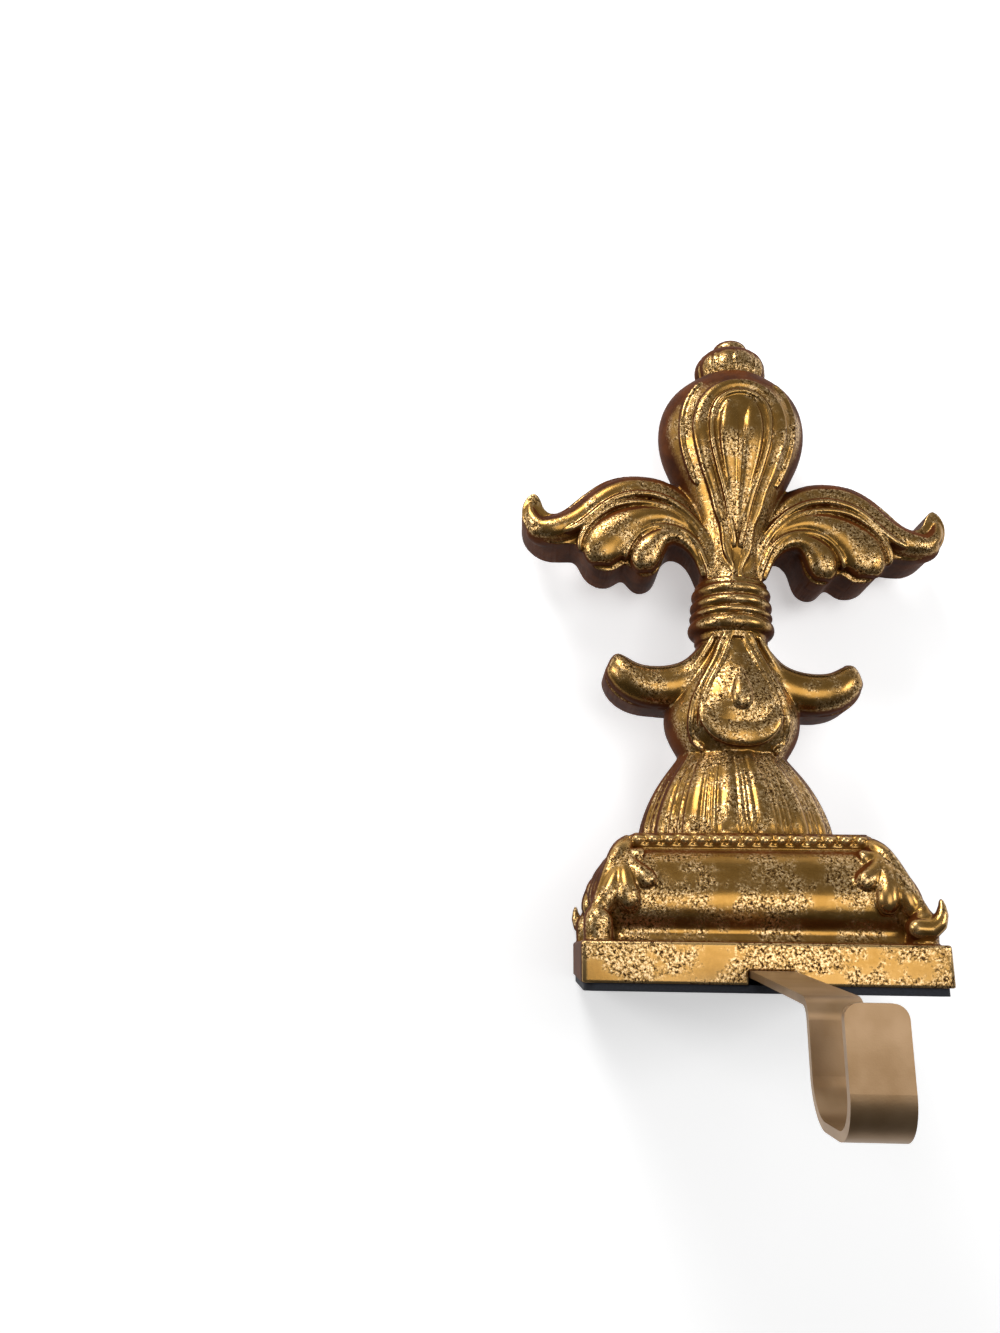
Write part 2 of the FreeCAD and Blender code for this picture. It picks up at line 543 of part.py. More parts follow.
def lean(shape):
    """Turns the motif about its back and leans it about the dome, as it stands on the pedestal."""
    turned = shape.copy()
    back = Vector(0, size("motif_back"), 0)
    turned.rotate(back, Vector(0, 0, 1), size("motif_turn"))
    turned.rotate(Vector(0, 0, dome_top), Vector(0, 1, 0), size("motif_lean"))
    return turned


def make_carving():
    """All that stands on the plinth: pedestal, bead ledge, corner leaves, dome and motif."""
    slab, beads = make_ledge()
    body = fuse_checked(make_pedestal(), [slab], "ledge")
    body = body.fuse(beads).Solids[0]
    leaf = corner_leaf()
    back_leaf = leaf.mirror(Vector(0, 0, 0), Vector(0, 1, 0))
    leaves = both(leaf) + both(back_leaf)
    for piece in leaves:
        piece.translate(Vector(-size("leaf_shift"), 0, 0))
    body = fuse_checked(body, leaves, "corner leaf")
    body = fuse_checked(body, [make_dome()], "dome")
    motif = make_motif()
    motif = fuse_checked(motif[0], motif[1:], "motif")
    body = fuse_checked(body, [lean(motif)], "motif on dome")
    body.translate(Vector(shift, 0, 0))
    return body


def sketch_on(body, name, role):
    """A sketch on one of a body's own origin planes."""
    sketch = body.newObject("Sketcher::SketchObject", name)
    plane = [item for item in body.Origin.OriginFeatures if item.Role == role][0]
    sketch.AttachmentSupport = (plane, "")
    sketch.MapMode = "FlatFace"
    return sketch


def dimension(sketch, kind, geometry, formula):
    """A dimension of a sketch, bound to the sizes."""
    start = math.radians(float(sketch.evalExpression(formula))) if kind == "Angle" else \
        float(sketch.evalExpression(formula))
    row = sketch.addConstraint(Sketcher.Constraint(kind, *geometry, start))
    sketch.setExpression("Constraints[%d]" % row, formula + " * 1 deg" if kind == "Angle" else formula)


def rectangle(sketch, left, right, low, high):
    """Four joined lines: the lower, right, upper and left side, in that order."""
    corners = [(left, low), (right, low), (right, high), (left, high)]
    for index in range(4):
        first, last = corners[index], corners[(index + 1) % 4]
        sketch.addGeometry(Part.LineSegment(Vector(first[0], first[1], 0), Vector(last[0], last[1], 0)),
                           False)
    for index in range(4):
        sketch.addConstraint(Sketcher.Constraint("Coincident", index, 2, (index + 1) % 4, 1))
    for index in (0, 2):
        sketch.addConstraint(Sketcher.Constraint("Horizontal", index))
    for index in (1, 3):
        sketch.addConstraint(Sketcher.Constraint("Vertical", index))


def centred_rectangle(sketch, width, depth):
    """A rectangle about the middle, its width and depth given as formulas."""
    half_x = float(sketch.evalExpression(width)) / 2
    half_y = float(sketch.evalExpression(depth)) / 2
    rectangle(sketch, -half_x, half_x, -half_y, half_y)
    sketch.addConstraint(Sketcher.Constraint("Symmetric", 0, 1, 1, 2, -1, 1))
    dimension(sketch, "DistanceX", (0, 1, 0, 2), width)
    dimension(sketch, "DistanceY", (1, 1, 1, 2), depth)


def edges_of(feature, wanted):
    """Names of a feature's edges for which a test on the edge's box holds."""
    return ["Edge%d" % number for number, edge in enumerate(feature.Shape.Edges, start=1)
            if wanted(edge.BoundBox)]


def add_fillet(body, name, base, edges, radius):
    """A fillet on a body, its radius given as a formula."""
    fillet = body.newObject("PartDesign::Fillet", name)
    fillet.Base = (base, edges)
    fillet.Radius = float(sheet.evalExpression(radius))
    fillet.setExpression("Radius", radius)
    doc.recompute()
    return fillet


# Heights and places that several pieces share, as formulas over the sizes
STRAP_FOOT = "Sizes.pad_thickness + Sizes.screw_head_height + Sizes.head_gap"
STRAP_MIDDLE = STRAP_FOOT + " + Sizes.strap_thickness / 2"
REAR_LEG = "Sizes.plinth_depth / 2 + Sizes.arm_reach + Sizes.strap_thickness / 2"
FLOOR = ("Sizes.hook_drop + (Sizes.arm_reach + Sizes.strap_thickness / 2 - Sizes.knee_out) * tan(Sizes.arm_droop)"
         " - (" + STRAP_MIDDLE + ")")
SCREW_ROWS = ["Sizes.plinth_depth / 2 - Sizes.screw_inset",
              "Sizes.plinth_depth / 2 - Sizes.screw_inset - Sizes.screw_pitch"]


# Casting: the plinth with the carving on it, a channel for the strap under its front, and two blind holes
plinth = doc.addObject("PartDesign::Body", "PlinthBody")
slab_outline = sketch_on(plinth, "PlinthOutline", "XY_Plane")
slab_outline.setExpression("AttachmentOffset.Base.z", "Sizes.pad_thickness")
centred_rectangle(slab_outline, "Sizes.plinth_width", "Sizes.plinth_depth")
plinth_slab = plinth.newObject("PartDesign::Pad", "PlinthSlab")
plinth_slab.Profile = slab_outline
plinth_slab.setExpression("Length", "Sizes.plinth_height")
doc.recompute()
upright = add_fillet(plinth, "PlinthCorners", plinth_slab,
                     edges_of(plinth_slab, lambda box: box.ZLength > 1e-3 > max(box.XLength, box.YLength)),
                     "Sizes.plinth_round")
add_fillet(plinth, "PlinthRim", upright,
           edges_of(upright, lambda box: box.ZLength < 1e-6 and abs(box.ZMin - plinth_top) < 1e-6),
           "Sizes.rim_round")
channel = doc.addObject("Part::Box", "StrapChannel")
channel.setExpression("Length", "Sizes.strap_width + 2 * Sizes.strap_side_gap")
channel.setExpression("Width", "Sizes.tang_length + Sizes.strap_side_gap + Sizes.channel_overrun")
channel.setExpression("Height", STRAP_FOOT + " + Sizes.strap_thickness")
channel.setExpression("Placement.Base.x", "Sizes.strap_shift - Sizes.strap_width / 2 - Sizes.strap_side_gap")
channel.setExpression("Placement.Base.y", "-Sizes.plinth_depth / 2 - Sizes.channel_overrun")
cutters = [channel]
for number, row in enumerate(SCREW_ROWS, start=1):
    bore = doc.addObject("Part::Cylinder", "ScrewBore%d" % number)
    bore.setExpression("Radius", "Sizes.screw_shank / 2 + Sizes.screw_clearance")
    bore.setExpression("Height", STRAP_FOOT + " + Sizes.screw_length + Sizes.bore_room")
    bore.setExpression("Placement.Base.x", "Sizes.strap_shift")
    bore.setExpression("Placement.Base.y", "-(" + row + ")")
    cutters.append(bore)
doc.recompute()
body = fuse_checked(plinth.Shape.Solids[0], [make_carving()], "carving on plinth")
casting = doc.addObject("Part::Feature", "Casting")
casting.Label = "casting"
casting.Shape = body.cut([cutter.Shape for cutter in cutters]).Solids[0]
casting.Placement = Placement()

# Strap hook: one flat strap, bent in one plane, with the screws' holes and rounded free corners
strap = doc.addObject("PartDesign::Body", "StrapBody")
strap.Label = "strap_hook"
path = sketch_on(strap, "StrapPath", "YZ_Plane")
path.setExpression("AttachmentOffset.Base.z", "Sizes.strap_shift")


def strap_path():
    """The strap's middle line: five straight runs and four tangent bends, from the tang to the lip."""
    middle = float(sheet.evalExpression(STRAP_MIDDLE))
    knee = -half_depth - size("knee_out")
    leg = -float(sheet.evalExpression(REAR_LEG))
    floor = -float(sheet.evalExpression(FLOOR))
    lip = leg - size("hook_gap") - size("strap_thickness")
    half = size("strap_thickness") / 2
    droop = math.radians(size("arm_droop"))
    route = [Vector(-half_depth + size("tang_length"), middle, 0), Vector(knee, middle, 0),
             Vector(leg, middle - (knee - leg) * math.tan(droop), 0), Vector(leg, floor, 0),
             Vector(lip, floor, 0),
             Vector(lip, floor - half + size("hook_lip"), 0)]
    radii = [size("knee_radius"), size("arm_bend_radius") + half, size("bend_radius") + half,
             size("bend_radius") + half]
    here = route[0]
    for index, radius in enumerate(radii, start=1):
        point = route[index]
        one = route[index - 1].sub(point).normalize()
        two = route[index + 1].sub(point).normalize()
        reach = radius / math.tan(one.getAngle(two) / 2)
        first, last = point + one * reach, point + two * reach
        middle_way = (one + two).normalize()
        centre = point + middle_way * (radius / math.sin(one.getAngle(two) / 2))
        path.addGeometry(Part.LineSegment(here, first), False)
        begin, end = (first, last) if one.cross(two).z < 0 else (last, first)
        path.addGeometry(Part.ArcOfCircle(Part.Circle(centre, Vector(0, 0, 1), radius),
                                          math.atan2(begin.y - centre.y, begin.x - centre.x),
                                          math.atan2(end.y - centre.y, end.x - centre.x)), False)
        here = last
    path.addGeometry(Part.LineSegment(here, route[-1]), False)


strap_path()
# the first two bends run counter-clockwise, the two of the U clockwise
for bend, enters, leaves in ((1, 1, 2), (3, 1, 2), (5, 2, 1), (7, 2, 1)):
    path.addConstraint(Sketcher.Constraint("Tangent", bend - 1, 2, bend, enters))
    path.addConstraint(Sketcher.Constraint("Tangent", bend, leaves, bend + 1, 1))
for line in (0, 6):
    path.addConstraint(Sketcher.Constraint("Horizontal", line))
for line in (4, 8):
    path.addConstraint(Sketcher.Constraint("Vertical", line))
dimension(path, "Radius", (1,), "Sizes.knee_radius")
dimension(path, "Radius", (3,), "Sizes.arm_bend_radius + Sizes.strap_thickness / 2")
dimension(path, "Radius", (5,), "Sizes.bend_radius + Sizes.strap_thickness / 2")
dimension(path, "Radius", (7,), "Sizes.bend_radius + Sizes.strap_thickness / 2")
dimension(path, "Angle", (2,), "(Sizes.arm_droop - 180)")
dimension(path, "DistanceX", (-1, 1, 0, 1), "Sizes.tang_length - Sizes.plinth_depth / 2")
dimension(path, "DistanceY", (-1, 1, 0, 1), STRAP_MIDDLE)
dimension(path, "DistanceX", (0, 2, -1, 1),
          "Sizes.plinth_depth / 2 + Sizes.knee_out - Sizes.knee_radius * tan(Sizes.arm_droop / 2)")
dimension(path, "DistanceX", (4, 1, -1, 1), REAR_LEG)
dimension(path, "DistanceY", (6, 1, -1, 1), FLOOR)
dimension(path, "DistanceX", (8, 1, -1, 1), REAR_LEG + " + Sizes.hook_gap + Sizes.strap_thickness")
dimension(path, "DistanceY", (6, 1, 8, 2), "Sizes.hook_lip - Sizes.strap_thickness / 2")
section = sketch_on(strap, "StrapSection", "XZ_Plane")
section.setExpression("AttachmentOffset.Base.z", "Sizes.plinth_depth / 2 - Sizes.tang_length")
foot = float(sheet.evalExpression(STRAP_FOOT))
rectangle(section, strap_x - size("strap_width") / 2, strap_x + size("strap_width") / 2,
          foot, foot + size("strap_thickness"))
dimension(section, "DistanceX", (0, 1, 0, 2), "Sizes.strap_width")
dimension(section, "DistanceX", (0, 1, -1, 1), "Sizes.strap_width / 2 - Sizes.strap_shift")
dimension(section, "DistanceY", (1, 1, 1, 2), "Sizes.strap_thickness")
dimension(section, "DistanceY", (-1, 1, 0, 1), STRAP_FOOT)
doc.recompute()
strip = strap.newObject("PartDesign::AdditivePipe", "StrapStrip")
strip.Profile = section
strip.Spine = (path, [])
doc.recompute()
holes = sketch_on(strap, "StrapHoles", "XY_Plane")
for number, row in enumerate(SCREW_ROWS):
    holes.addGeometry(Part.Circle(Vector(strap_x, -float(sheet.evalExpression(row)), 0), Vector(0, 0, 1),
                                  size("screw_shank") / 2 + size("screw_clearance")), False)
    dimension(holes, "Radius", (number,), "Sizes.screw_shank / 2 + Sizes.screw_clearance")
    dimension(holes, "DistanceX", (-1, 1, number, 3), "Sizes.strap_shift")
    dimension(holes, "DistanceY", (number, 3, -1, 1), row)
bores = strap.newObject("PartDesign::Pocket", "StrapBores")
bores.Profile = holes
bores.Type = "ThroughAll"
bores.Reversed = True
doc.recompute()
lip_top = -float(sheet.evalExpression(FLOOR)) - size("strap_thickness") / 2 + size("hook_lip")
free_corners = edges_of(bores, lambda box: abs(box.YLength - size("strap_thickness")) < 1e-3
                        and abs(box.ZMin - lip_top) < 1e-3 and abs(box.ZMax - lip_top) < 1e-3
                        and box.XLength < 1e-3)
add_fillet(strap, "StrapCorners", bores, free_corners, "Sizes.strap_corner")

# Screws: a round head under the strap and a shank up into the casting
screws = []
for number, row in enumerate(SCREW_ROWS, start=1):
    head = doc.addObject("Part::Cylinder", "Screw%dHead" % number)
    head.setExpression("Radius", "Sizes.screw_head / 2")
    head.setExpression("Height", "Sizes.screw_head_height")
    head.setExpression("Placement.Base.z", "Sizes.pad_thickness + Sizes.head_gap")
    shank = doc.addObject("Part::Cylinder", "Screw%dShank" % number)
    shank.setExpression("Radius", "Sizes.screw_shank / 2")
    shank.setExpression("Height", "Sizes.screw_length + Sizes.screw_head_height / 2")
    shank.setExpression("Placement.Base.z",
                        "Sizes.pad_thickness + Sizes.head_gap + Sizes.screw_head_height / 2")
    for piece in (head, shank):
        piece.setExpression("Placement.Base.x", "Sizes.strap_shift")
        piece.setExpression("Placement.Base.y", "-(" + row + ")")
    doc.recompute()
    domed = doc.addObject("Part::Fillet", "Screw%dDome" % number)
    domed.Base = head
    rim = [index for index, edge in enumerate(head.Shape.Edges, start=1)
           if edge.BoundBox.ZMax < head.Placement.Base.z + 1e-3]
    domed.Edges = [(index, size("screw_head_height") * 0.45,
                    size("screw_head_height") * 0.45) for index in rim]
    screw = doc.addObject("Part::Fuse", "Screw%d" % number)
    screw.Label = "screw_%d" % number
    screw.Base = domed
    screw.Tool = shank
    doc.recompute()
    screws.append(screw)

# Seat pad: a sheet under the plinth with rounded corners
pad = doc.addObject("PartDesign::Body", "PadBody")
pad.Label = "seat_pad"
outline = sketch_on(pad, "PadOutline", "XY_Plane")
centred_rectangle(outline, "Sizes.plinth_width - 2 * Sizes.pad_inset",
                  "Sizes.plinth_depth - 2 * Sizes.pad_inset")
pad_sheet = pad.newObject("PartDesign::Pad", "PadSheet")
pad_sheet.Profile = outline
pad_sheet.setExpression("Length", "Sizes.pad_thickness")
doc.recompute()
add_fillet(pad, "PadCorners", pad_sheet, edges_of(pad_sheet, lambda box: box.ZLength > 1e-3 > box.XLength
                                                  and box.YLength < 1e-3), "Sizes.pad_round")

# Check and write
PIECES = [casting, strap, pad] + screws
for item in doc.Objects:
    if "Invalid" in item.State or "Error" in item.State:
        raise RuntimeError("%s did not compute: %s" % (item.Label, item.State))
os.makedirs("parts", exist_ok=True)
for piece in PIECES:
    shape = piece.Shape
    if shape.isNull() or not shape.isValid() or len(shape.Solids) != 1:
        raise RuntimeError("%s is not one valid solid" % piece.Label)
    shape.exportStep("parts/%s.step" % piece.Label)
    box = shape.BoundBox
    print("%-12s %9.1f mm3  x %.1f..%.1f  y %.1f..%.1f  z %.1f..%.1f"
          % (piece.Label, shape.Volume, box.XMin, box.XMax, box.YMin, box.YMax, box.ZMin, box.ZMax))
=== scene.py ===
# %% [markdown]
# # A mantel stocking holder in Blender
# The real object is a cast ornament that stands on a mantel shelf and carries a flat steel hook.
# The casting is resin under worn gold leaf, the hook is painted steel, and a thin foam pad sits under the
# foot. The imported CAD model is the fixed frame, so every piece here goes exactly where the CAD says.

# %% Load the frame
import bmesh
import bpy
import math
from mathutils import Matrix, Vector


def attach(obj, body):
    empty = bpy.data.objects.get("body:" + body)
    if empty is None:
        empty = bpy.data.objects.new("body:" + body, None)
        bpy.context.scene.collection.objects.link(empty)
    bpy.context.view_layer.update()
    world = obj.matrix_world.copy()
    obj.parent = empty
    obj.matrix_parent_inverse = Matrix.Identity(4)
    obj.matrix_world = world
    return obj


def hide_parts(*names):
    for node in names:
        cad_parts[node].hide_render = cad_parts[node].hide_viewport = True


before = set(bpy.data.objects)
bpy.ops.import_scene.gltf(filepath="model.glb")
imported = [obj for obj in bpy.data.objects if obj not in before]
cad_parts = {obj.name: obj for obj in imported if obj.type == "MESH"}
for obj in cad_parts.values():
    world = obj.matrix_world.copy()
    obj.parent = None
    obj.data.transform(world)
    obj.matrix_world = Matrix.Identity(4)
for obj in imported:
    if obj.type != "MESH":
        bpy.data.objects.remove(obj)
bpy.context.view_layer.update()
MM = 0.001
print("CAD nodes:", sorted(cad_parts))

# %% [markdown]
# ## The camera
# The photograph looks down at the holder, which lies on its back. In the frame of the standing object
# that is a camera in front of it, tilted up by about sixteen degrees. The place and the three directions
# come from fitting known corners of the plinth and the strap to the picture. The fitted focal length in
# pixels turns into a lens for a 36 mm sensor along the picture's height. All sizes and places in this
# script are in millimetres, and MM turns them into Blender's metres.

# %% Camera
PICTURE_HEIGHT = 1333  # pixels
FOCAL_LENGTH = 1001.2  # pixels
SENSOR_HEIGHT = 36.0
CAMERA_PLACE = (-61.97, -346.33, 11.24)
CAMERA_RIGHT = (0.9988, 0.0460, 0.0141)
CAMERA_BACK = (0.0481, -0.9613, -0.2711)
NEAR_CLIP = 10
camera_data = bpy.data.cameras.new("camera")
camera_data.sensor_fit = "VERTICAL"
camera_data.sensor_height = SENSOR_HEIGHT
camera_data.lens = FOCAL_LENGTH / PICTURE_HEIGHT * SENSOR_HEIGHT
camera_data.clip_start = NEAR_CLIP * MM
camera = bpy.data.objects.new("camera", camera_data)
bpy.context.scene.collection.objects.link(camera)
bpy.context.scene.camera = camera
right = Vector(CAMERA_RIGHT).normalized()
back = Vector(CAMERA_BACK)
back = (back - right * back.dot(right)).normalized()
up = back.cross(right)
turn = Matrix((right, up, back)).transposed()
camera.matrix_world = Matrix.Translation(Vector(CAMERA_PLACE) * MM) @ turn.to_4x4()
print("lens %.2f mm" % camera_data.lens)

# %% [markdown]
# ## Colours and nodes
# Colours are written as the hex values that a picture shows, and one function turns them into the linear
# values that Blender's shaders want. One more function adds a node with its settings and its links.


# %% Helpers for materials
def linear(code):
    """A colour such as "C9A15A" as linear red, green, blue and alpha."""
    values = [int(code[i:i + 2], 16) / 255 for i in (0, 2, 4)]
    return tuple(v / 12.92 if v <= 0.04045 else ((v + 0.055) / 1.055) ** 2.4 for v in values) + (1.0,)


def add(tree, kind, settings=None, **links):
    """Adds a node; settings go to its properties, links to its inputs as values or as other sockets."""
    node = tree.nodes.new(kind)
    for name, value in (settings or {}).items():
        setattr(node, name, value)
    for name, value in links.items():
        key = int(name[1:]) if name[0] == "i" and name[1:].isdigit() else name.replace("_", " ")
        socket = node.inputs[key]
        if isinstance(value, bpy.types.NodeSocket):
            tree.links.new(value, socket)
        else:
            socket.default_value = value
    return node


def new_material(name):
    """A material with an empty tree and a Principled shader on its output."""
    material = bpy.data.materials.new(name)
    material.use_nodes = True
    tree = material.node_tree
    tree.nodes.clear()
    shader = add(tree, "ShaderNodeBsdfPrincipled")
    add(tree, "ShaderNodeOutputMaterial", Surface=shader.outputs[0])
    return material, tree, shader


def blend_colour(tree, factor, one, two):
    """The colour between one and two, as far along as factor says."""
    return add(tree, "ShaderNodeMix", {"data_type": "RGBA"}, i0=factor, i6=one, i7=two).outputs[2]


def ramp(tree, value, low, high, start=0.0, end=1.0):
    """A value's range between low and high as a smooth step from start to end."""
    return add(tree, "ShaderNodeMapRange", {"interpolation_type": "SMOOTHSTEP"}, Value=value,
               From_Min=low, From_Max=high, To_Min=start, To_Max=end).outputs[0]


def maths(tree, operation, one, two):
    """One sum on two values."""
    return add(tree, "ShaderNodeMath", {"operation": operation}, i0=one, i1=two).outputs[0]


def speckle(tree, place, size, detail=4.0, rough=0.6):
    """Noise whose grains measure about a size in millimetres."""
    return add(tree, "ShaderNodeTexNoise", Vector=place, Scale=1 / (size * MM), Detail=detail,
               Roughness=rough).outputs[0]


def clouded(tree, noise, dark, light, low=0.3, high=0.7):
    """A colour that drifts from dark to light with a noise."""
    return blend_colour(tree, ramp(tree, noise, low, high), linear(dark), linear(light))


def surface(tree, shader, colour, metallic, roughness):
    """Sets a shader's colour and its plain numbers."""
    tree.links.new(colour, shader.inputs["Base Color"])
    shader.inputs["Metallic"].default_value = metallic
    shader.inputs["Roughness"].default_value = roughness


def roughen(tree, shader, height, depth, strength):
    """Gives a shader a bump of a height pattern, with its depth in millimetres."""
    bump = add(tree, "ShaderNodeBump", Height=height, Distance=depth * MM, Strength=strength)
    tree.links.new(bump.outputs[0], shader.inputs["Normal"])


# %% [markdown]
# ## The white surface
# The holder lies on its back on a plain white sheet. It touches that sheet with the back of the plinth
# and the top of the ornament, so the sheet is a plane that leans a little against the standing frame.
# The plane is seen from its front only, and lamps behind it pass through, so the back of the holder can
# be looked at as well.

# %% Surface behind the holder
SHEET_LEAN = math.atan2(0.141, 0.990)
SHEET_HALF = 2500
SHEET_GLOW = 0.45
sheet_normal = Vector((0, math.cos(SHEET_LEAN), math.sin(SHEET_LEAN)))
reach = max(sheet_normal.dot(v.co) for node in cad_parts.values() for v in node.data.vertices)
sheet_mesh = bpy.data.meshes.new("white_sheet")
across = Vector((1, 0, 0))
along = sheet_normal.cross(across)
centre = sheet_normal * reach
corners = [centre + (across * a + along * b) * SHEET_HALF * MM
           for a, b in ((-1, -1), (1, -1), (1, 1), (-1, 1))]
sheet_mesh.from_pydata(corners, [], [(0, 1, 2, 3)])
white_sheet = bpy.data.objects.new("white_sheet", sheet_mesh)
bpy.context.scene.collection.objects.link(white_sheet)
sheet_mesh.update()
if sheet_mesh.polygons[0].normal.dot(sheet_normal) > 0:
    sheet_mesh.flip_normals()

paper = bpy.data.materials.new("white_paper")
paper.use_nodes = True
tree = paper.node_tree
tree.nodes.clear()
path = add(tree, "ShaderNodeLightPath").outputs
seen = maths(tree, "MAXIMUM", path["Is Camera Ray"], path["Is Glossy Ray"])
seen = maths(tree, "MAXIMUM", seen, path["Is Transmission Ray"])
dark = add(tree, "ShaderNodeEmission", Strength=0.0)
glow = add(tree, "ShaderNodeEmission", Color=(1, 1, 1, 1), Strength=SHEET_GLOW)
glowing = add(tree, "ShaderNodeMixShader", i0=seen, i1=dark.outputs[0], i2=glow.outputs[0])
diffuse = add(tree, "ShaderNodeBsdfDiffuse", Color=linear("F2F2F2"))
lit = add(tree, "ShaderNodeAddShader", i0=diffuse.outputs[0], i1=glowing.outputs[0])
clear = add(tree, "ShaderNodeBsdfTransparent")
behind = add(tree, "ShaderNodeNewGeometry").outputs["Backfacing"]
through = maths(tree, "MAXIMUM", behind, path["Is Shadow Ray"])
mixed = add(tree, "ShaderNodeMixShader", i0=through, i1=lit.outputs[0], i2=clear.outputs[0])
add(tree, "ShaderNodeOutputMaterial", Surface=mixed.outputs[0])
sheet_mesh.materials.append(paper)

# %% [markdown]
# ## Light
# A soft even light, as a window or a light tent gives. The strongest lamp stands beyond the picture's
# top, a wide one in front fills the plinth, two small ones at the sides give the ridges bright lines, and
# one behind lights the back. A pale sky fills the rest, darker from below, so that what faces down stays
# brown. The camera sees that sky as plain white.


# %% Lamps and sky
LAMPS = [("key_lamp", (-300, -520, 760), (0, 0, 110), 320, 4.6),
         ("front_lamp", (160, -760, 60), (0, 0, 60), 420, 1.7),
         ("left_lamp", (-620, -320, 240), (0, 0, 110), 200, 1.3),
         ("right_lamp", (560, -420, 160), (0, 0, 110), 200, 1.2),
         ("back_lamp", (120, 700, 420), (0, 0, 110), 500, 3.0)]  # name, place, aim, width, watts
SKY_BELOW, SKY_ABOVE = 0.08, 0.32


def soft_lamp(name, place, aim, width, power):
    """A square soft lamp at a place, turned to a point."""
    data = bpy.data.lights.new(name, "AREA")
    data.shape = "SQUARE"
    data.size = width * MM
    data.energy = power
    lamp = bpy.data.objects.new(name, data)
    bpy.context.scene.collection.objects.link(lamp)
    lamp.location = Vector(place) * MM
    lamp.rotation_mode = "QUATERNION"
    lamp.rotation_quaternion = (Vector(place) - Vector(aim)).to_track_quat("Z", "Y")


for lamp_values in LAMPS:
    soft_lamp(*lamp_values)
world = bpy.data.worlds.new("sky")
bpy.context.scene.world = world
world.use_nodes = True
tree = world.node_tree
tree.nodes.clear()
direction = add(tree, "ShaderNodeSeparateXYZ", Vector=add(tree, "ShaderNodeTexCoord").outputs["Generated"])
strength = ramp(tree, direction.outputs[2], -0.5, 0.5, SKY_BELOW, SKY_ABOVE)
light = add(tree, "ShaderNodeBackground", Color=(1, 1, 1, 1), Strength=strength)
backdrop = add(tree, "ShaderNodeBackground", Color=(1, 1, 1, 1), Strength=1.0)
seen = add(tree, "ShaderNodeLightPath").outputs["Is Camera Ray"]
sky = add(tree, "ShaderNodeMixShader", i0=seen, i1=light.outputs[0], i2=backdrop.outputs[0])
add(tree, "ShaderNodeOutputWorld", Surface=sky.outputs[0])
bpy.context.scene.view_settings.view_transform = "Standard"

# %% [markdown]
# ## Gold leaf over bole, with painted light and shade
# The front of the casting is gilded: thin leaf on a red-brown bole. The sides and the back were left brown,
# and faces that look up high on the ornament are coloured brown as well. The leaf is a metal, the bole is a
# satin varnish. In worn patches the leaf is crinkled; there bright flecks are painted glints, and dark pits
# are partly leaf rubbed through to the bole and partly painted shade. Hollows get painted shade, darker and
# less metallic, grooves get painted shade and ridges a painted highlight, placed by ambient occlusion and
# Pointiness. The pattern is in Object coordinates, and its grains have real sizes.

# %% Worn gold leaf, with painted glints and shade
PATCH_SIZE, PIT_SIZE, GRAIN_SIZE = 13.0, 0.8, 0.5
HOLLOW_SHADE_REACH = 4
UPPER_EDGES = (120, 150)  # heights between which faces that look up turn brown
BEAD_ROW = (41, 42.5, 47, 48)  # heights where the smooth row of beads starts and ends
LEAF_DEPTH = 0.3
gilt, tree, shader = new_material("worn_gold_leaf_over_bole_with_painted_light")
coordinates = add(tree, "ShaderNodeTexCoord").outputs
place = coordinates["Object"]
facing = add(tree, "ShaderNodeSeparateXYZ", Vector=coordinates["Normal"]).outputs
height = add(tree, "ShaderNodeSeparateXYZ", Vector=place).outputs[2]
patches = speckle(tree, place, PATCH_SIZE, 8.0, 0.68)
pits = speckle(tree, place, PIT_SIZE, 5.0, 0.75)
grains = speckle(tree, place, GRAIN_SIZE, 3.0, 0.6)

# where the leaf lies: on what faces the front, with a ragged edge; faces that look up high on the ornament
# are brown
upward_brown_by_height = ramp(tree, height, UPPER_EDGES[0] * MM, UPPER_EDGES[1] * MM, 0.05, 0.85)
upward = maths(tree, "MULTIPLY", maths(tree, "MAXIMUM", facing[2], 0.0), upward_brown_by_height)
front = maths(tree, "SUBTRACT", maths(tree, "MULTIPLY", facing[1], -1.0), upward)
ragged = maths(tree, "MULTIPLY", maths(tree, "SUBTRACT", grains, 0.5), 0.25)
gold = ramp(tree, maths(tree, "ADD", front, ragged), 0.42, 0.66)

# where it is crinkled, with painted glints and dark pits: in patches, but hardly on the beads
beads = maths(tree, "MULTIPLY", ramp(tree, height, BEAD_ROW[0] * MM, BEAD_ROW[1] * MM),
              ramp(tree, height, BEAD_ROW[3] * MM, BEAD_ROW[2] * MM))
worn = maths(tree, "SUBTRACT", 1.0, maths(tree, "MULTIPLY", beads, 0.85))
crinkled = maths(tree, "MULTIPLY", ramp(tree, patches, 0.44, 0.53), worn)
# painted glints: bright specks on the crinkled leaf, where its facets would catch the light
painted_glints = maths(tree, "MULTIPLY", crinkled, ramp(tree, pits, 0.50, 0.60))
# dark pits: partly leaf rubbed through to the bole, partly painted shade among the crinkles
rubbed_pits_and_shade = maths(tree, "MULTIPLY", crinkled, ramp(tree, pits, 0.50, 0.43))

# painted light and shade of the relief: painted shade in hollows and grooves, a painted highlight on ridges
open_share = add(tree, "ShaderNodeAmbientOcclusion", {"samples": 6, "only_local": True},
                 Distance=HOLLOW_SHADE_REACH * MM).outputs["AO"]
# painted shade: darker, duller leaf where ambient occlusion finds a hollow
painted_hollow_shade = ramp(tree, open_share, 0.9, 0.45)
bend = add(tree, "ShaderNodeNewGeometry").outputs["Pointiness"]
# painted highlight: lighter leaf on convex ridges, placed by Pointiness
painted_ridge_highlight = ramp(tree, bend, 0.505, 0.56, 0.0, 0.8)
# painted shade: darker leaf in concave grooves, placed by Pointiness
painted_groove_shade = ramp(tree, bend, 0.495, 0.43, 0.0, 0.8)

